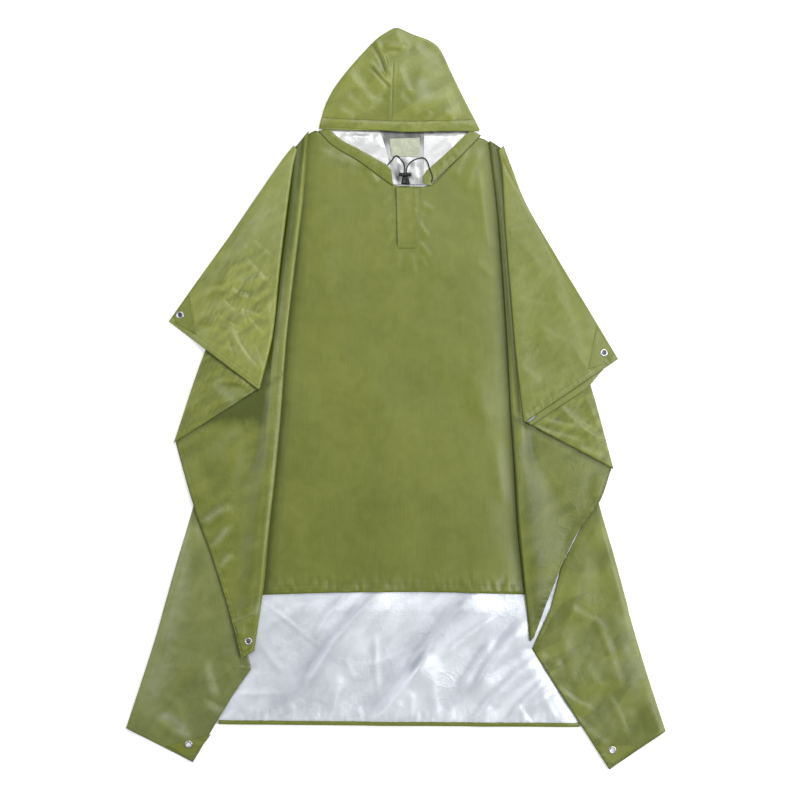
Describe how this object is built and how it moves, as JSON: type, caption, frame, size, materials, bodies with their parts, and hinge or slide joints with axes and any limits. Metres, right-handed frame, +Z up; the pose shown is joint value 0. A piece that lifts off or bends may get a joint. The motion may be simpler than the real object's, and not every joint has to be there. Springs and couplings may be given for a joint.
{
  "type": "hooded poncho",
  "caption": "Hooded rain poncho laid out flat, sides folded in pleats, back longer than the front, with metal eyelets and a drawcord at the hood.",
  "frame": {"origin": "middle of the laid-out poncho's outline, on the surface it lies on", "axes": "+X across the poncho, to the right as seen from above; +Y from the hem towards the hood; +Z up from the surface"},
  "size_m": [1.1326, 1.555, 0.0132],
  "materials": {
    "cloth_green": "semi-gloss coated",
    "cloth_silver": "silver coated",
    "cloth_pale": "semi-gloss coated",
    "eyelet_metal": "nickel plated",
    "cord_black": "braided",
    "lock_plastic": "moulded"
  },
  "bodies": {
    "root": {"back_panel": "cloth_silver", "back_hem": "cloth_green", "front_panel": "cloth_green", "left_sleeve": "cloth_green", "right_sleeve": "cloth_green", "hood_left": "cloth_green", "hood_right": "cloth_green", "hood_brim": "cloth_green", "hood_neck": "cloth_silver", "hood_inner_left": "cloth_silver", "hood_inner_right": "cloth_silver", "blank_patch": "cloth_pale", "neck_band_left": "cloth_green", "neck_band_right": "cloth_green", "placket": "cloth_green", "patch_cuff_left": "cloth_green", "patch_cuff_right": "cloth_green", "patch_front_left": "cloth_green", "patch_back_left": "cloth_green", "patch_back_right": "cloth_green", "eyelet_cuff_left": "eyelet_metal", "eyelet_cuff_right": "eyelet_metal", "eyelet_front_left": "eyelet_metal", "eyelet_back_left": "eyelet_metal", "eyelet_back_right": "eyelet_metal", "drawcord_left": "cord_black", "drawcord_right": "cord_black", "cord_lock_body": "lock_plastic", "cord_lock_bar": "lock_plastic"}
  },
  "joints": []
}
